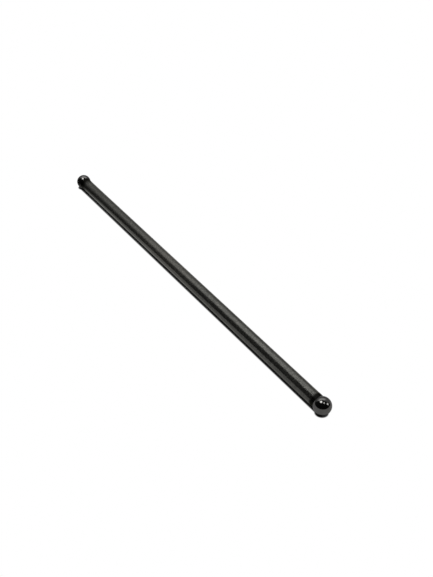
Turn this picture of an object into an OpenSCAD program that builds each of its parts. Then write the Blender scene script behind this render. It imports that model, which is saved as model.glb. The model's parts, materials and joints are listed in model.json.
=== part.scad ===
// Engine pushrod: a straight steel bar with a ball formed on each end.
// It carries the tappet's lift to the rocker arm.
// Lengths are in millimetres. The rod lies along X, with the tappet ball's centre at the origin.

/* [Length] */
// Length over both balls, from tip to tip
overall_length = 233; // [60:0.5:400]

/* [Shank] */
// Diameter of the straight shank
shank_d = 6.35; // [4:0.05:7.2]

/* [Tappet end] */
// Diameter of the ball that seats in the tappet
tappet_ball_d = 7.94; // [7.4:0.02:12]
// Radius of the fillet that runs the shank into the tappet ball
tappet_fillet_r = 0.6; // [0.1:0.05:3]

/* [Rocker end] */
// Diameter of the ball that seats under the rocker arm
rocker_ball_d = 7.94; // [7.4:0.02:12]
// Radius of the fillet that runs the shank into the rocker ball
rocker_fillet_r = 0.6; // [0.1:0.05:3]

/* [Hidden] */
$fn = 96;
// Depth by which a fillet's arc laps the ball and the shank, so that their outlines cross cleanly
lap = 0.00002;

shank_r = shank_d / 2;
tappet_ball_r = tappet_ball_d / 2;
rocker_ball_r = rocker_ball_d / 2;
centre_distance = overall_length - tappet_ball_r - rocker_ball_r;

// Centre of the arc that rounds the corner between the shank and a ball, seen from the ball's centre:
// X outwards from the axis and Y towards the shank. The arc lies outside both and runs smoothly into each.
function arc_centre(ball_r, fillet_r) =
    let (across = shank_r + fillet_r - lap, reach = ball_r + fillet_r - lap)
    [across, sqrt(reach * reach - across * across)];

// Half outline of one ball and of the neck that its fillet hollows out towards the shank.
module ball_end_outline(ball_r, fillet_r) {
    centre = arc_centre(ball_r, fillet_r);
    intersection() {
        circle(r = ball_r);
        translate([0, -ball_r]) square([ball_r, 2 * ball_r]);
    }
    difference() {
        polygon([[0, 0], centre, [0, centre.y]]);
        translate(centre) circle(r = fillet_r);
    }
}

// Half outline of the whole rod, the tappet ball's centre at the origin and the rod along Y.
module rod_outline() {
    ball_end_outline(tappet_ball_r, tappet_fillet_r);
    square([shank_r, centre_distance]);
    translate([0, centre_distance]) mirror([0, 1]) ball_end_outline(rocker_ball_r, rocker_fillet_r);
}

// The bar, turned from its half outline and laid along X.
module pushrod() {
    color("dimgray") rotate([0, 90, 0]) rotate_extrude() rod_outline();
}

pushrod();
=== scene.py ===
"""Dresses the engine pushrod: a satin black steel bar with a polished ball formed on each end."""

import json
import logging
import math
from collections.abc import Callable
from dataclasses import dataclass
from enum import Enum
from typing import ClassVar

import bpy
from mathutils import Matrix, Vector


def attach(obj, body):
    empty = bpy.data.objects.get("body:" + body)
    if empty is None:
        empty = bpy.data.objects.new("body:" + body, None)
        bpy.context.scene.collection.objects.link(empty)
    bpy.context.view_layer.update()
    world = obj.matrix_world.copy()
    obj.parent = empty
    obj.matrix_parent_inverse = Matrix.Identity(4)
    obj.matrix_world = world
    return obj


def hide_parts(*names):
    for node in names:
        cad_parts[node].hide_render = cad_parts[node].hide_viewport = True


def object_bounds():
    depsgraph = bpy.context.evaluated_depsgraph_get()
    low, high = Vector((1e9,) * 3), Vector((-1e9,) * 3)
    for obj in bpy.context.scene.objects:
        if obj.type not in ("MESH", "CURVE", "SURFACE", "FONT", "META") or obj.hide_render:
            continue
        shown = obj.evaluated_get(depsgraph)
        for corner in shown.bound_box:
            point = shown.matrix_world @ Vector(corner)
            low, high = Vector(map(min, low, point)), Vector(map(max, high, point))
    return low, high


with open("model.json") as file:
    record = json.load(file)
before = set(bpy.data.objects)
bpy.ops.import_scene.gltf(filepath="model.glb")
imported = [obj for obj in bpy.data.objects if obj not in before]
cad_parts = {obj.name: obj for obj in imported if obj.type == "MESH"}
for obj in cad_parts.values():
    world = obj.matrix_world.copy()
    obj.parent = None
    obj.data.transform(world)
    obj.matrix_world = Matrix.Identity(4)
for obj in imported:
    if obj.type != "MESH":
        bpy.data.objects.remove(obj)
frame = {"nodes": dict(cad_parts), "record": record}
CAD_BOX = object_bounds()

LOG = logging.getLogger("pushrod")
MM = 0.001

Socket = bpy.types.NodeSocket
Pair = tuple[float, float]
Triple = tuple[float, float, float]
Colour = tuple[float, float, float, float]


class RodEnd(Enum):
    """The two ends of the rod, by the name of the mount at each ball's centre."""

    TAPPET = "tappet_ball"
    ROCKER = "rocker_ball"


class SteelSurface(Enum):
    """The surfaces of the bar, in the order of its material slots."""

    SHANK = 0
    BALL = 1


def grey(level: float) -> Colour:
    """Gives an opaque grey."""
    return (level, level, level, 1.0)


def cut_faces(thing: bpy.types.Object, unwanted: Callable[[bpy.types.MeshPolygon], bool]) -> None:
    """Deletes the faces that a test picks.

    Args:
        thing: The active object, in object mode.
        unwanted: Tells whether a face goes.
    """
    bpy.ops.object.mode_set(mode="EDIT")
    bpy.ops.mesh.select_mode(type="FACE")
    bpy.ops.mesh.select_all(action="DESELECT")
    bpy.ops.object.mode_set(mode="OBJECT")
    for face in thing.data.polygons:
        face.select = unwanted(face)
    bpy.ops.object.mode_set(mode="EDIT")
    bpy.ops.mesh.delete(type="FACE")
    bpy.ops.object.mode_set(mode="OBJECT")


class NodeSheet:
    """A node tree, with short ways to add nodes and join them."""

    def __init__(self, tree: bpy.types.NodeTree) -> None:
        """Empties a node tree and starts a sheet on it."""
        self.tree = tree
        self.tree.nodes.clear()

    def add(self, kind: str, **settings: object) -> bpy.types.Node:
        """Adds one node.

        Args:
            kind: The node's type name.
            settings: Properties of the node to set.

        Returns:
            The new node.
        """
        node = self.tree.nodes.new(kind)
        for name, value in settings.items():
            setattr(node, name, value)
        return node

    def join(self, source: Socket, target: Socket) -> None:
        """Links an output to an input."""
        self.tree.links.new(source, target)

    def feed(self, target: Socket, value: object) -> None:
        """Links an output to an input, or sets a plain value on it.

        Args:
            target: The input.
            value: An output socket, or a number, vector or colour.
        """
        if isinstance(value, Socket):
            self.join(value, target)
        else:
            target.default_value = value

    def surface(self, shader: Socket, kind: str = "ShaderNodeOutputMaterial") -> None:
        """Adds the output node, of a material or another kind, and joins a shader to it."""
        self.join(shader, self.add(kind).inputs["Surface"])

    def place(self) -> Socket:
        """Gives the place on the surface, in the object's own coordinates."""
        return self.add("ShaderNodeTexCoord").outputs["Object"]

    def split(self, vector: Socket) -> tuple[Socket, ...]:
        """Takes a vector apart.

        Args:
            vector: The vector's socket.

        Returns:
            The sockets of its X, Y and Z.
        """
        node = self.add("ShaderNodeSeparateXYZ")
        self.join(vector, node.inputs["Vector"])
        return tuple(node.outputs)

    def math(self, operation: str, first: object, second: object = 0.0) -> Socket:
        """Adds a Math node.

        Args:
            operation: Its operation.
            first: The first value or output.
            second: The second value or output.

        Returns:
            The result's socket.
        """
        node = self.add("ShaderNodeMath", operation=operation)
        self.feed(node.inputs[0], first)
        self.feed(node.inputs[1], second)
        return node.outputs["Value"]

    def remap(self, value: Socket, source: Pair, target: Pair = (0.0, 1.0),
              smooth: bool = False) -> Socket:
        """Maps a value from one range to another, held at the ends.

        Args:
            value: The value's socket.
            source: The two values that are mapped.
            target: What they become.
            smooth: Whether the change eases in and out.

        Returns:
            The mapped value's socket.
        """
        kind = "SMOOTHSTEP" if smooth else "LINEAR"
        node = self.add("ShaderNodeMapRange", interpolation_type=kind)
        self.join(value, node.inputs["Value"])
        limits = ("From Min", "From Max", "To Min", "To Max")
        for name, number in zip(limits, (*source, *target)):
            node.inputs[name].default_value = number
        return node.outputs["Result"]

    def fade(self, value: Socket, limits: Pair) -> Socket:
        """Gives a share that eases from 0 at the first limit to 1 at the second."""
        return self.remap(value, limits, smooth=True)

    def blend(self, factor: Socket, low: object, high: object) -> Socket:
        """Mixes two colours, or their sockets, by the share of the second."""
        return self._mix("RGBA", "RGBA", factor, low, high)

    def level(self, factor: Socket, low: object, high: object) -> Socket:
        """Mixes two numbers, or their sockets, by the share of the second."""
        return self._mix("FLOAT", "VALUE", factor, low, high)

    def _mix(self, data_type: str, socket_type: str, factor: Socket, low: object, high: object) -> Socket:
        """Adds a Mix node.

        Args:
            data_type: What it mixes.
            socket_type: The type of the sockets that carry it.
            factor: The share of the second value.
            low: The first value, or its socket.
            high: The second value, or its socket.

        Returns:
            The result's socket.
        """
        node = self.add("ShaderNodeMix", data_type=data_type)
        ends = [s for s in node.inputs if s.type == socket_type and s.name in ("A", "B")]
        self.join(factor, node.inputs["Factor"])
        for target, value in zip(ends, (low, high)):
            self.feed(target, value)
        return next(s for s in node.outputs if s.type == socket_type)

    def bump(self, height: Socket, distance: float) -> Socket:
        """Adds a Bump node.

        Args:
            height: The relief's socket.
            distance: The relief's depth.

        Returns:
            The normal's socket.
        """
        node = self.add("ShaderNodeBump")
        node.inputs["Distance"].default_value = distance
        self.join(height, node.inputs["Height"])
        return node.outputs["Normal"]


def new_material(name: str) -> tuple[bpy.types.Material, NodeSheet]:
    """Makes a material with an empty sheet.

    Args:
        name: The material's name.

    Returns:
        The material and its sheet.
    """
    material = bpy.data.materials.new(name)
    material.use_nodes = True
    return material, NodeSheet(material.node_tree)


class SurfaceEffects:
    """Node groups that the rod's finishes share."""

    GRAIN_DETAIL: ClassVar[float] = 3.0
    GRAIN_ROUGHNESS: ClassVar[float] = 0.55
    GRAIN_MEAN: ClassVar[float] = 0.5

    def __init__(self) -> None:
        """Builds each group once."""
        self.grain = self._build_grain()
        self.zone = self._build_zone()

    @staticmethod
    def _new_group(name: str, inputs: dict[str, str], outputs: dict[str, str]) -> bpy.types.NodeTree:
        """Makes an empty group with named sockets.

        Args:
            name: The group's name.
            inputs: Input names and their socket types.
            outputs: Output names and their socket types.

        Returns:
            The group's node tree.
        """
        group = bpy.data.node_groups.new(name, "ShaderNodeTree")
        for label, kind in inputs.items():
            group.interface.new_socket(label, in_out="INPUT", socket_type=kind)
        for label, kind in outputs.items():
            group.interface.new_socket(label, in_out="OUTPUT", socket_type=kind)
        return group

    def _build_grain(self) -> bpy.types.NodeTree:
        """Builds noise that can be drawn out along the rod or around it.

        Returns:
            A group with inputs Vector, Along and Across, in cycles per metre, and output Value.
        """
        inputs = {"Vector": "NodeSocketVector", "Along": "NodeSocketFloat", "Across": "NodeSocketFloat"}
        group = self._new_group("steel_grain", inputs, {"Value": "NodeSocketFloat"})
        sheet = NodeSheet(group)
        given = sheet.add("NodeGroupInput").outputs
        result = sheet.add("NodeGroupOutput").inputs
        rates = ("Along", "Across", "Across")
        point = sheet.add("ShaderNodeCombineXYZ")
        for part, rate, target in zip(sheet.split(given["Vector"]), rates, point.inputs):
            sheet.join(sheet.math("MULTIPLY", part, given[rate]), target)
        noise = sheet.add("ShaderNodeTexNoise")
        noise.inputs["Scale"].default_value = 1.0
        noise.inputs["Detail"].default_value = self.GRAIN_DETAIL
        noise.inputs["Roughness"].default_value = self.GRAIN_ROUGHNESS
        sheet.join(point.outputs["Vector"], noise.inputs["Vector"])
        sheet.join(noise.outputs[0], result["Value"])
        return group

    def _build_zone(self) -> bpy.types.NodeTree:
        """Builds a mask that is whole at one place along the rod and fades with the distance from it.

        Returns:
            A group with inputs Vector, Place, Solid, Reach, Ragged, in metres, and Grain, and output Mask.
        """
        names = ("Place", "Solid", "Reach", "Ragged", "Grain")
        inputs = {"Vector": "NodeSocketVector", **{name: "NodeSocketFloat" for name in names}}
        group = self._new_group("zone_along_rod", inputs, {"Mask": "NodeSocketFloat"})
        sheet = NodeSheet(group)
        given = sheet.add("NodeGroupInput").outputs
        result = sheet.add("NodeGroupOutput").inputs
        along, _, _ = sheet.split(given["Vector"])
        away = sheet.math("ABSOLUTE", sheet.math("SUBTRACT", along, given["Place"]))
        uneven = sheet.math("SUBTRACT", given["Grain"], self.GRAIN_MEAN)
        wander = sheet.math("MULTIPLY", uneven, given["Ragged"])
        past = sheet.math("SUBTRACT", sheet.math("ADD", away, wander), given["Solid"])
        share = sheet.math("DIVIDE", past, sheet.math("SUBTRACT", given["Reach"], given["Solid"]))
        sheet.join(sheet.remap(share, (0.0, 1.0), (1.0, 0.0), smooth=True), result["Mask"])
        return group

    def place_grain(self, sheet: NodeSheet, point: Socket, rates: Pair) -> Socket:
        """Places the grain in a material.

        Args:
            sheet: The material's sheet.
            point: The coordinates that it reads.
            rates: Cycles per metre along the rod and across it.

        Returns:
            The grain's value, about GRAIN_MEAN on average.
        """
        node = sheet.add("ShaderNodeGroup", node_tree=self.grain)
        sheet.join(point, node.inputs["Vector"])
        for name, rate in zip(("Along", "Across"), rates):
            node.inputs[name].default_value = rate
        return node.outputs["Value"]

    def place_zone(self, sheet: NodeSheet, point: Socket, grain: Socket, place: float,
                   limits: Pair, ragged: float) -> Socket:
        """Places a fading zone of the rod's length in a material.

        Args:
            sheet: The material's sheet.
            point: The coordinates that it reads.
            grain: Noise that makes its edge wander.
            place: The zone's middle, along X.
            limits: How far from there it is whole, and how far it reaches.
            ragged: How far its edge wanders.

        Returns:
            The zone's mask.
        """
        node = sheet.add("ShaderNodeGroup", node_tree=self.zone)
        sheet.join(point, node.inputs["Vector"])
        sheet.join(grain, node.inputs["Grain"])
        for name, value in zip(("Place", "Solid", "Reach", "Ragged"), (place, *limits, ragged)):
            node.inputs[name].default_value = value
        return node.outputs["Mask"]


@dataclass(frozen=True)
class SatinShankFinish:
    """Black oxide over a ground bar: satin, faintly speckled, rubbed midway, with painted shade and dark
    reflection beside each ball.

    The ranges are values of the grain between which wear, specks and roughness change.
    """

    oxide: Colour = (0.053, 0.053, 0.0485, 1.0)
    oxide_worn: Colour = (0.080, 0.079, 0.072, 1.0)
    wear_range: Pair = (0.35, 0.65)
    speck: Colour = (0.039, 0.039, 0.0355, 1.0)
    speck_range: Pair = (0.40, 0.60)
    speck_share: float = 0.9
    rubbed: Colour = (0.078, 0.0735, 0.0655, 1.0)
    # painted shade: near-black where the shank meets each ball, standing in for the ball's shade and its
    # dark reflection on the shank
    root: Colour = (0.005, 0.005, 0.0045, 1.0)
    edge_tint: Colour = (0.55, 0.55, 0.52, 1.0)
    metal_share: float = 0.72
    rubbed_metal_share: float = 0.60
    junction_shade_metal_share: float = 1.0
    roughness: Pair = (0.14, 0.25)
    roughness_range: Pair = (0.42, 0.62)
    junction_shade_roughness: float = 0.50
    tappet_junction_shade: Pair = (2.2 * MM, 7.0 * MM)
    rocker_junction_shade: Pair = (1.6 * MM, 3.3 * MM)
    junction_shade_ragged: float = 0.9 * MM
    rubbed_place: float = 100.0 * MM
    rubbed_limits: Pair = (12.0 * MM, 36.0 * MM)
    rubbed_ragged: float = 14.0 * MM
    mottle_rates: Pair = (420.0, 700.0)
    speckle_rates: Pair = (1200.0, 1200.0)
    grind_rates: Pair = (14000.0, 600.0)
    bump_height: float = 0.018 * MM

    def build(self, effects: SurfaceEffects, roots: dict[RodEnd, float]) -> bpy.types.Material:
        """Builds the material.

        Args:
            effects: The shared node groups.
            roots: Where the shank meets each ball, along X.

        Returns:
            The new material.
        """
        material, sheet = new_material("satin_black_shank")
        point = sheet.place()
        mottle = effects.place_grain(sheet, point, self.mottle_rates)
        speckle = effects.place_grain(sheet, point, self.speckle_rates)
        grind = effects.place_grain(sheet, point, self.grind_rates)
        limits = {RodEnd.TAPPET: self.tappet_junction_shade, RodEnd.ROCKER: self.rocker_junction_shade}
        # painted shade and dark reflection beside each ball, reaching further at the tappet end
        junction_shade_zones = [effects.place_zone(sheet, point, mottle, roots[end], limits[end], self.junction_shade_ragged)
                 for end in RodEnd]
        root = sheet.math("MAXIMUM", *junction_shade_zones)
        handled = effects.place_zone(sheet, point, mottle, self.rubbed_place, self.rubbed_limits,
                                     self.rubbed_ragged)
        oxide = sheet.blend(sheet.remap(mottle, self.wear_range), self.oxide, self.oxide_worn)
        oxide = sheet.blend(handled, oxide, self.rubbed)
        specks = sheet.remap(speckle, self.speck_range, (self.speck_share, 0.0))
        oxide = sheet.blend(specks, oxide, self.speck)
        metal = sheet.level(handled, self.metal_share, self.rubbed_metal_share)
        satin = sheet.remap(speckle, self.roughness_range, self.roughness)
        shader = sheet.add("ShaderNodeBsdfPrincipled")
        shader.inputs["Specular Tint"].default_value = self.edge_tint
        sheet.join(sheet.blend(root, oxide, self.root), shader.inputs["Base Color"])
        sheet.join(sheet.level(root, metal, self.junction_shade_metal_share), shader.inputs["Metallic"])
        sheet.join(sheet.level(root, satin, self.junction_shade_roughness), shader.inputs["Roughness"])
        sheet.join(sheet.bump(grind, self.bump_height), shader.inputs["Normal"])
        sheet.surface(shader.outputs["BSDF"])
        return material


@dataclass(frozen=True)
class PolishedBallFinish:
    """Hard black ball, polished to a mirror, with faint polishing marks and a thin oil film.

    The ranges are values of the film between which colour and roughness change.
    """

    black: Colour = (0.068, 0.067, 0.064, 1.0)
    black_clear: Colour = (0.080, 0.079, 0.076, 1.0)
    clear_range: Pair = (0.35, 0.65)
    edge_tint: Colour = (0.60, 0.60, 0.60, 1.0)
    metal_share: float = 0.95
    roughness: Pair = (0.05, 0.14)
    roughness_range: Pair = (0.3, 0.7)
    film_rates: Pair = (500.0, 500.0)
    polish_rates: Pair = (9000.0, 2500.0)
    bump_height: float = 0.0003 * MM

    def build(self, effects: SurfaceEffects) -> bpy.types.Material:
        """Builds the material.

        Args:
            effects: The shared node groups.

        Returns:
            The new material.
        """
        material, sheet = new_material("polished_black_ball")
        point = sheet.place()
        film = effects.place_grain(sheet, point, self.film_rates)
        polish = effects.place_grain(sheet, point, self.polish_rates)
        clear = sheet.remap(film, self.clear_range)
        gloss = sheet.remap(film, self.roughness_range, self.roughness)
        shader = sheet.add("ShaderNodeBsdfPrincipled")
        shader.inputs["Metallic"].default_value = self.metal_share
        shader.inputs["Specular Tint"].default_value = self.edge_tint
        sheet.join(sheet.blend(clear, self.black, self.black_clear), shader.inputs["Base Color"])
        sheet.join(gloss, shader.inputs["Roughness"])
        sheet.join(sheet.bump(polish, self.bump_height), shader.inputs["Normal"])
        sheet.surface(shader.outputs["BSDF"])
        return material


@dataclass
class Pushrod:
    """The bar with its two balls, one piece of metal."""

    span: float
    ball_radii: dict[RodEnd, float]
    shank_radius: float
    fillet_radius: float
    segments: int = 128
    rings: int = 72
    fillet_steps: int = 10
    shank_cuts: int = 63
    weld_distance: float = 0.0001 * MM

    RADIUS_MARGIN: ClassVar[float] = 0.001 * MM

    @classmethod
    def from_frame(cls) -> "Pushrod":
        """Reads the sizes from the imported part.

        Returns:
            The pushrod, not yet built.
        """
        mounts = {m["name"]: m for m in frame["record"]["mounts"]}
        radii = {end: mounts[end.value]["dims"]["r_mm"] * MM for end in RodEnd}
        span = mounts[RodEnd.ROCKER.value]["pos_m"][0] - mounts[RodEnd.TAPPET.value]["pos_m"][0]
        solid = frame["nodes"]["pushrod"].data.vertices
        between = [(v.co.x, math.hypot(v.co.y, v.co.z)) for v in solid if 0.0 < v.co.x < span]
        shank = min(radius for _, radius in between)
        start = min(x for x, radius in between if radius < shank + cls.RADIUS_MARGIN)
        ball = radii[RodEnd.TAPPET]
        # The arc touches both: start squared is (ball + fillet) squared less (shank + fillet) squared.
        fillet = (start**2 - ball**2 + shank**2) / (2.0 * (ball - shank))
        return cls(span, radii, shank, fillet)

    def centre(self, end: RodEnd) -> float:
        """Gives the place of a ball's centre along X."""
        return 0.0 if end is RodEnd.TAPPET else self.span

    def towards_shank(self, end: RodEnd) -> float:
        """Gives the sign of the direction from a ball to the shank."""
        return 1.0 if end is RodEnd.TAPPET else -1.0

    def arc_centre(self, end: RodEnd) -> Pair:
        """Places the fillet's arc, which touches both the ball and the shank.

        Args:
            end: Which end.

        Returns:
            The arc's centre, as the distance from the ball's centre along the rod and from the axis.
        """
        across = self.shank_radius + self.fillet_radius
        reach = self.ball_radii[end] + self.fillet_radius
        return math.sqrt(reach**2 - across**2), across

    def touch(self, end: RodEnd) -> float:
        """Gives the distance from a ball's centre to the plane where its fillet starts."""
        along, _ = self.arc_centre(end)
        return along * self.ball_radii[end] / (self.ball_radii[end] + self.fillet_radius)

    def roots(self) -> dict[RodEnd, float]:
        """Gives the places along X where the balls end and the fillets start."""
        return {end: self.centre(end) + self.towards_shank(end) * self.touch(end) for end in RodEnd}

    def build(self) -> bpy.types.Object:
        """Models the bar: a ball cut open for each end, a fillet drawn out of it, and the shank between.

        Returns:
            The finished object.
        """
        ends = [self._ball_end(end) for end in RodEnd]
        bpy.ops.object.select_all(action="DESELECT")
        for part in ends:
            part.select_set(True)
        rod = ends[0]
        bpy.context.view_layer.objects.active = rod
        bpy.ops.object.join()
        rod.name = "ball_ended_bar"
        rod.data.name = rod.name
        bpy.ops.object.mode_set(mode="EDIT")
        bpy.ops.mesh.select_mode(type="EDGE")
        bpy.ops.mesh.select_all(action="DESELECT")
        bpy.ops.mesh.select_non_manifold()
        bpy.ops.mesh.bridge_edge_loops(number_cuts=self.shank_cuts)
        bpy.ops.mesh.select_all(action="SELECT")
        bpy.ops.mesh.remove_doubles(threshold=self.weld_distance)
        bpy.ops.mesh.normals_make_consistent(inside=False)
        bpy.ops.object.mode_set(mode="OBJECT")
        bpy.ops.object.shade_smooth()
        return rod

    def _ball_end(self, end: RodEnd) -> bpy.types.Object:
        """Models one ball, opened towards the shank, with its fillet.

        Args:
            end: Which end.

        Returns:
            The open mesh, which stops where the straight shank starts.
        """
        sign = self.towards_shank(end)
        centre = self.centre(end)
        bpy.ops.object.select_all(action="DESELECT")
        bpy.ops.mesh.primitive_uv_sphere_add(
            segments=self.segments, ring_count=self.rings, radius=self.ball_radii[end],
            location=(centre, 0.0, 0.0), rotation=(0.0, math.pi / 2.0, 0.0))
        bpy.ops.object.transform_apply(location=True, rotation=True, scale=True)
        ball = bpy.context.view_layer.objects.active
        bpy.ops.object.mode_set(mode="EDIT")
        bpy.ops.mesh.select_mode(type="EDGE")
        bpy.ops.mesh.select_all(action="SELECT")
        bpy.ops.mesh.bisect(plane_co=(centre + sign * self.touch(end), 0.0, 0.0),
                            plane_no=(sign, 0.0, 0.0), clear_outer=True)
        bpy.ops.mesh.select_all(action="DESELECT")
        bpy.ops.mesh.select_non_manifold()
        self._draw_fillet(end)
        bpy.ops.object.mode_set(mode="OBJECT")
        return ball

    def _draw_fillet(self, end: RodEnd) -> None:
        """Extrudes the selected rim of a ball along its fillet's arc, ring by ring, to the shank.

        Args:
            end: Which end.
        """
        sign = self.towards_shank(end)
        along, across = self.arc_centre(end)
        start = math.atan2(along, across)
        place = self.touch(end)
        radius = across * self.ball_radii[end] / math.hypot(along, across)
        for step in range(1, self.fillet_steps + 1):
            turn = start * (1.0 - step / self.fillet_steps)
            next_place = along - self.fillet_radius * math.sin(turn)
            next_radius = across - self.fillet_radius * math.cos(turn)
            bpy.ops.mesh.extrude_region_move(
                TRANSFORM_OT_translate={"value": (sign * (next_place - place), 0.0, 0.0)})
            shrink = next_radius / radius
            middle = (self.centre(end) + sign * next_place, 0.0, 0.0)
            bpy.ops.transform.resize(value=(1.0, shrink, shrink), center_override=middle)
            place, radius = next_place, next_radius

    def _sort_faces(self, rod: bpy.types.Object) -> None:
        """Gives the faces of the balls the ball's slot, and the rest the shank's.

        Args:
            rod: The finished bar.
        """
        roots = self.roots()
        for face in rod.data.polygons:
            on_shank = roots[RodEnd.TAPPET] < face.center.x < roots[RodEnd.ROCKER]
            face.material_index = (SteelSurface.SHANK if on_shank else SteelSurface.BALL).value

    def dress(self, rod: bpy.types.Object, effects: SurfaceEffects) -> None:
        """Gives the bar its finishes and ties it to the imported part.

        Args:
            rod: The finished bar.
            effects: The shared node groups.
        """
        finishes = {
            SteelSurface.SHANK: SatinShankFinish().build(effects, self.roots()),
            SteelSurface.BALL: PolishedBallFinish().build(effects),
        }
        rod.data.materials.clear()
        for surface in SteelSurface:
            rod.data.materials.append(finishes[surface])
        self._sort_faces(rod)
        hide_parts("pushrod")
        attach(rod, "root")


@dataclass(frozen=True)
class PhotoCamera:
    """The camera, by the point that it looks at and where it stands from there."""

    target: Triple = (0.13393, 0.00777, -0.00005)
    distance: float = 0.38838
    azimuth_deg: float = 57.325
    elevation_deg: float = 35.78
    lens_mm: float = 49.975
    sensor_mm: float = 36.0
    clip_start: float = 0.01
    clip_end: float = 50.0

    def level_axes(self) -> tuple[Vector, Vector]:
        """Gives the level directions to the camera's right and away from it.

        Returns:
            The two unit vectors.
        """
        turn = math.radians(self.azimuth_deg)
        right = Vector((math.cos(turn), math.sin(turn), 0.0))
        away = Vector((-math.sin(turn), math.cos(turn), 0.0))
        return right, away

    def build(self) -> bpy.types.Object:
        """Makes the camera and gives it to the scene.

        Returns:
            The camera.
        """
        data = bpy.data.cameras.new("photo_camera")
        data.lens = self.lens_mm
        data.sensor_width = self.sensor_mm
        data.clip_start = self.clip_start
        data.clip_end = self.clip_end
        camera = bpy.data.objects.new("photo_camera", data)
        bpy.context.scene.collection.objects.link(camera)
        rise = math.radians(self.elevation_deg)
        _, away = self.level_axes()
        back = Vector((0.0, 0.0, math.sin(rise))) - away * math.cos(rise)
        camera.location = Vector(self.target) + back * self.distance
        camera.rotation_mode = "QUATERNION"
        camera.rotation_quaternion = (-back).to_track_quat("-Z", "Y")
        bpy.context.scene.camera = camera
        return camera


@dataclass(frozen=True)
class StagePlan:
    """Where the stage stands: the rod's middle and half length, the camera's level axes and the floor."""

    middle: Vector
    right: Vector
    away: Vector
    floor_height: float
    half_length: float

    @property
    def foot(self) -> Vector:
        """The point of the floor under the rod's middle."""
        return Vector((self.middle.x, self.middle.y, self.floor_height))

    @property
    def turn(self) -> float:
        """The turn about Z that brings X to the camera's right."""
        return math.atan2(self.right.y, self.right.x)


@dataclass(frozen=True)
class Softbox:
    """A soft lamp, placed by metres to the right, away from the camera and up from the rod's middle."""

    name: str
    place: Triple
    width: float
    height: float
    radiance: float

    def hang(self, plan: StagePlan) -> bpy.types.Object:
        """Makes the lamp and turns it to the rod's middle. The camera looks through it.

        Args:
            plan: Where the stage stands.

        Returns:
            The lamp.
        """
        data = bpy.data.lights.new(self.name, "AREA")
        data.shape = "RECTANGLE"
        data.size = self.width
        data.size_y = self.height
        data.energy = self.radiance * math.pi * self.width * self.height
        lamp = bpy.data.objects.new(self.name, data)
        bpy.context.scene.collection.objects.link(lamp)
        right, away, up = self.place
        way = plan.right * right + plan.away * away + Vector((0.0, 0.0, up))
        lamp.location = plan.middle + way
        lamp.rotation_mode = "QUATERNION"
        lamp.rotation_quaternion = (-way).to_track_quat("-Z", "Y")
        lamp.visible_camera = False
        return lamp


@dataclass(frozen=True)
class LightTent:
    """The lit cloth of a tent round the back of the rod: dim at the floor, brightest near its top.

    Angles are in degrees: up from the level, and to the right from straight behind the rod.
    """

    radius: float = 0.80
    sides: Pair = (-65.0, 85.0)
    top: float = 65.0
    crown_sides: Pair = (-25.0, 45.0)
    crown_top: float = 75.0
    foot_glow: float = 0.33
    rise_gain: float = 4.9
    rise_power: float = 3.2
    crown_glow: float = 1.2
    crown_fade: Pair = (62.0, 66.0)
    flank_glow: float = 0.55
    flank_fade: Pair = (40.0, 65.0)
    left_fade: Pair = (-65.0, -54.0)
    segments: int = 72
    rings: int = 36

    def build(self, plan: StagePlan) -> bpy.types.Object:
        """Makes the cloth. The camera looks through it.

        Args:
            plan: Where the stage stands.

        Returns:
            The cloth.
        """
        bpy.ops.object.select_all(action="DESELECT")
        bpy.ops.mesh.primitive_uv_sphere_add(
            segments=self.segments, ring_count=self.rings, radius=self.radius)
        cloth = bpy.context.view_layer.objects.active
        cloth.name = "light_tent"
        cut_faces(cloth, lambda face: not self._holds(face.center))
        cloth.location = plan.middle
        cloth.rotation_euler = (0.0, 0.0, plan.turn)
        cloth.data.materials.append(self._glow())
        cloth.visible_camera = False
        return cloth

    def _holds(self, place: Vector) -> bool:
        """Tells whether a place on the whole sphere is on the cloth.

        Args:
            place: The place, from the sphere's middle.

        Returns:
            True where there is cloth.
        """
        side = math.degrees(math.atan2(place.x, place.y))
        rise = math.degrees(math.asin(place.z / place.length))
        wall = self.sides[0] < side < self.sides[1] and 0.0 < rise < self.top
        crown = self.crown_sides[0] < side < self.crown_sides[1] and 0.0 < rise < self.crown_top
        return wall or crown

    def _glow(self) -> bpy.types.Material:
        """Builds the cloth's glow, which rises with height and is held down at the crown and the flank.

        Returns:
            The new material.
        """
        material, sheet = new_material("tent_cloth")
        across, behind, up = sheet.split(sheet.place())
        height = sheet.math("DIVIDE", sheet.math("MAXIMUM", up, 0.0), self.radius)
        rise = sheet.math("MULTIPLY", sheet.math("POWER", height, self.rise_power), self.rise_gain)
        glow = sheet.math("ADD", rise, self.foot_glow)
        crown_start, crown_end = (math.sin(math.radians(angle)) for angle in self.crown_fade)
        glow = sheet.level(sheet.fade(height, (crown_start, crown_end)), glow, self.crown_glow)
        side = sheet.math("DEGREES", sheet.math("ARCTAN2", across, behind))
        glow = sheet.level(sheet.fade(side, self.flank_fade), glow, self.flank_glow)
        glow = sheet.math("MULTIPLY", glow, sheet.fade(side, self.left_fade))
        shader = sheet.add("ShaderNodeEmission")
        sheet.join(glow, shader.inputs["Strength"])
        sheet.surface(shader.outputs["Emission"])
        return material


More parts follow.
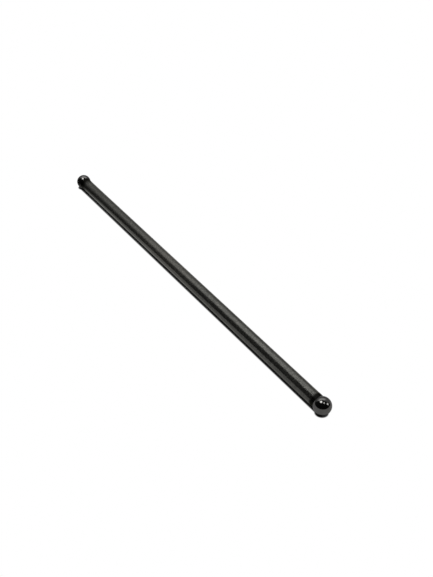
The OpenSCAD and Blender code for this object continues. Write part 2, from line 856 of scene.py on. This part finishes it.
class FloorMap:
    """Places on the floor in a material's sheet, measured from the rod that lies over it."""

    def __init__(self, sheet: NodeSheet, half_length: float) -> None:
        """Works out the place along the rod, across it and past its ends.

        Args:
            sheet: The floor's sheet.
            half_length: Half the distance between the balls' centres.
        """
        self.sheet = sheet
        self.half_length = half_length
        self.along, self.across, _ = sheet.split(sheet.place())
        self.beyond = sheet.math("SUBTRACT", sheet.math("ABSOLUTE", self.along), half_length)
        self.from_rod = self.distance(sheet.math("MAXIMUM", self.beyond, 0.0))

    def distance(self, along: Socket) -> Socket:
        """Gives the distance from a point on the rod's line, by the step to it along the rod."""
        squares = [self.sheet.math("MULTIPLY", step, step) for step in (along, self.across)]
        return self.sheet.math("SQRT", self.sheet.math("ADD", *squares))

    def towards(self, way: Vector) -> Socket:
        """Gives the distance from the rod's middle in a level direction."""
        steps = [self.sheet.math("MULTIPLY", *pair) for pair in zip((self.along, self.across), way)]
        return self.sheet.math("ADD", *steps)

    def by_end(self, values: Pair) -> Socket:
        """Gives a value that runs from one at the tappet ball to one at the rocker ball."""
        return self.sheet.remap(self.along, (-self.half_length, self.half_length), values)


@dataclass(frozen=True)
class PaleFloor:
    """The floor: a dark matt strip along the rod, painted shadow that also takes its real shadow, and
    plain white on both sides.

    The strip's half widths, the radii and insets of its round patches and the mirror's taper are given
    at the tappet ball and at the rocker ball. An inset is how far inwards a patch's middle lies from
    the ball's, and the taper scales the strip that the metal mirrors. Of the mirrored whites and the
    sheet's end, the first value is where white starts and the second where it is whole: away from the
    rod, away from the rocker ball, and towards the camera's right from the rod's middle.
    """

    size: float = 12.0
    # painted shadow: a low albedo on a strip whose outline follows the rod's shadow
    painted_shadow_albedo: float = 0.22
    table_albedo: float = 0.02
    shadow_strip_half_widths: Pair = (2.88 * MM, 2.25 * MM)
    shadow_strip_blur: float = 0.30 * MM
    shadow_patch_radii: Pair = (3.40 * MM, 2.93 * MM)
    shadow_patch_insets: Pair = (-0.60 * MM, 0.12 * MM)
    mirrored_white: Pair = (1.8 * MM, 4.6 * MM)
    mirror_taper: Pair = (0.70, 1.05)
    rocker_mirrored_white: Pair = (3.4 * MM, 4.2 * MM)
    sheet_end: Pair = (-80.0 * MM, -45.0 * MM)

    def build(self, plan: StagePlan) -> bpy.types.Object:
        """Makes the floor.

        Args:
            plan: Where the stage stands.

        Returns:
            The floor.
        """
        bpy.ops.object.select_all(action="DESELECT")
        bpy.ops.mesh.primitive_plane_add(size=self.size, location=plan.foot)
        floor = bpy.context.view_layer.objects.active
        floor.name = "pale_floor"
        floor.data.materials.append(self._matt_and_white(plan))
        return floor

    def _matt_and_white(self, plan: StagePlan) -> bpy.types.Material:
        """Builds the finish. The lit sheet under the rod ends past the tappet ball, on a dark table.

        Args:
            plan: Where the stage stands.

        Returns:
            The new material.
        """
        material, sheet = new_material("pale_floor")
        ground = FloorMap(sheet, plan.half_length)
        lit = sheet.fade(ground.towards(plan.right), self.sheet_end)
        paths = sheet.add("ShaderNodeLightPath").outputs
        seen = sheet.math("MULTIPLY", self._seen_white(ground), paths["Is Camera Ray"])
        bounced = sheet.math("MAXIMUM", paths["Is Glossy Ray"], paths["Is Transmission Ray"])
        mirrored = sheet.math("MULTIPLY", self._mirrored_white(ground), bounced)
        white = sheet.math("MAXIMUM", seen, sheet.math("MULTIPLY", mirrored, lit))
        matt = sheet.add("ShaderNodeBsdfDiffuse")
        # painted shadow: the strip's low albedo darkens the floor where the rod's shadow falls
        albedo = sheet.blend(lit, grey(self.table_albedo), grey(self.painted_shadow_albedo))
        sheet.join(albedo, matt.inputs["Color"])
        plain = sheet.add("ShaderNodeEmission")
        mix = sheet.add("ShaderNodeMixShader")
        for source, target in zip((white, matt.outputs["BSDF"], plain.outputs["Emission"]), mix.inputs):
            sheet.join(source, target)
        sheet.surface(mix.outputs["Shader"])
        return material

    def _seen_white(self, ground: FloorMap) -> Socket:
        """Gives where the camera sees white: past the painted shadow strip and past its round patches at
        the balls.

        Args:
            ground: Places on the floor.

        Returns:
            The share of white.
        """
        sheet = ground.sheet
        from_patch = ground.distance(sheet.math("ADD", ground.beyond, ground.by_end(self.shadow_patch_insets)))
        past_patch = sheet.math("SUBTRACT", from_patch, ground.by_end(self.shadow_patch_radii))
        past_strip = sheet.math("SUBTRACT", ground.from_rod, ground.by_end(self.shadow_strip_half_widths))
        past = sheet.math("MINIMUM", past_strip, past_patch)
        return sheet.fade(past, (-self.shadow_strip_blur, self.shadow_strip_blur))

    def _mirrored_white(self, ground: FloorMap) -> Socket:
        """Gives where the metal mirrors white: some way out from the rod, and further at the rocker ball.
        Nearer in, the metal mirrors the dark strip, a real shadow darkened into a painted dark reflection.

        Args:
            ground: Places on the floor.

        Returns:
            The share of white.
        """
        sheet = ground.sheet
        scaled = sheet.math("DIVIDE", ground.from_rod, ground.by_end(self.mirror_taper))
        by_rod = sheet.fade(scaled, self.mirrored_white)
        from_rocker = ground.distance(sheet.math("SUBTRACT", ground.along, ground.half_length))
        by_rocker = sheet.fade(from_rocker, self.rocker_mirrored_white)
        return sheet.math("MINIMUM", by_rod, by_rocker)


@dataclass(frozen=True)
class DarkRoom:
    """The dark walls and ceiling that the metal mirrors.

    The walls' distances are from the rod's middle, and the height is from the floor.
    """

    left: float = 1.1
    right: float = 1.3
    front: float = 1.3
    back: float = 0.85
    height: float = 1.20
    albedo: float = 0.02

    FACING_DOWN: ClassVar[float] = -0.9

    def build(self, plan: StagePlan) -> bpy.types.Object:
        """Makes the room, open below. The camera looks through it.

        Args:
            plan: Where the stage stands.

        Returns:
            The room.
        """
        bpy.ops.object.select_all(action="DESELECT")
        bpy.ops.mesh.primitive_cube_add(size=1.0)
        room = bpy.context.view_layer.objects.active
        room.name = "dark_room"
        room.scale = (self.left + self.right, self.front + self.back, self.height)
        room.rotation_euler = (0.0, 0.0, plan.turn)
        sideways = plan.right * ((self.right - self.left) / 2.0)
        backwards = plan.away * ((self.back - self.front) / 2.0)
        room.location = plan.foot + sideways + backwards + Vector((0.0, 0.0, self.height / 2.0))
        bpy.ops.object.transform_apply(location=True, rotation=True, scale=True)
        cut_faces(room, lambda face: face.normal.z < self.FACING_DOWN)
        material, sheet = new_material("dark_wall")
        matt = sheet.add("ShaderNodeBsdfDiffuse")
        matt.inputs["Color"].default_value = grey(self.albedo)
        sheet.surface(matt.outputs["BSDF"])
        room.data.materials.append(material)
        room.visible_camera = False
        return room


@dataclass(frozen=True)
class Studio:
    """The stage round the rod: floor, room, tent and lamps, with a plain white surround."""

    floor: PaleFloor = PaleFloor()
    room: DarkRoom = DarkRoom()
    tent: LightTent = LightTent()
    softboxes: tuple[Softbox, ...] = (
        Softbox("overhead_lamp", (-0.283, -0.027, 1.147), 0.47, 0.47, 11.0),
        Softbox("front_lamp", (0.336, -0.336, 1.142), 0.34, 0.34, 5.0),
        Softbox("side_lamp", (0.889, -0.231, 0.543), 0.28, 0.34, 6.0),
    )

    def build(self, plan: StagePlan) -> None:
        """Makes the whole stage.

        Args:
            plan: Where it stands.
        """
        self.floor.build(plan)
        self.room.build(plan)
        self._surround()
        self.tent.build(plan)
        for softbox in self.softboxes:
            softbox.hang(plan)

    @staticmethod
    def _surround() -> None:
        """Makes the surround plain white."""
        world = bpy.data.worlds.new("white_surround")
        world.use_nodes = True
        sheet = NodeSheet(world.node_tree)
        sky = sheet.add("ShaderNodeBackground")
        sky.inputs["Color"].default_value = grey(1.0)
        sheet.surface(sky.outputs["Background"], "ShaderNodeOutputWorld")
        bpy.context.scene.world = world


def main() -> None:
    """Builds the pushrod, then the stage around it."""
    logging.basicConfig(level=logging.INFO, format="%(name)s: %(message)s")
    bpy.context.scene.view_settings.view_transform = "Standard"
    effects = SurfaceEffects()
    pushrod = Pushrod.from_frame()
    LOG.info("span %.2f mm, shank radius %.3f mm, fillet %.3f mm",
             pushrod.span / MM, pushrod.shank_radius / MM, pushrod.fillet_radius / MM)
    bar = pushrod.build()
    pushrod.dress(bar, effects)
    LOG.info("%s: %d faces", bar.name, len(bar.data.polygons))
    camera = PhotoCamera()
    camera.build()
    right, away = camera.level_axes()
    half_length = pushrod.span / 2.0
    middle = Vector((half_length, 0.0, 0.0))
    plan = StagePlan(middle, right, away, floor_height=CAD_BOX[0].z, half_length=half_length)
    studio = Studio()
    studio.build(plan)
    LOG.info("stage ready, with %d lamps", len(studio.softboxes))


if __name__ == "__main__":
    main()
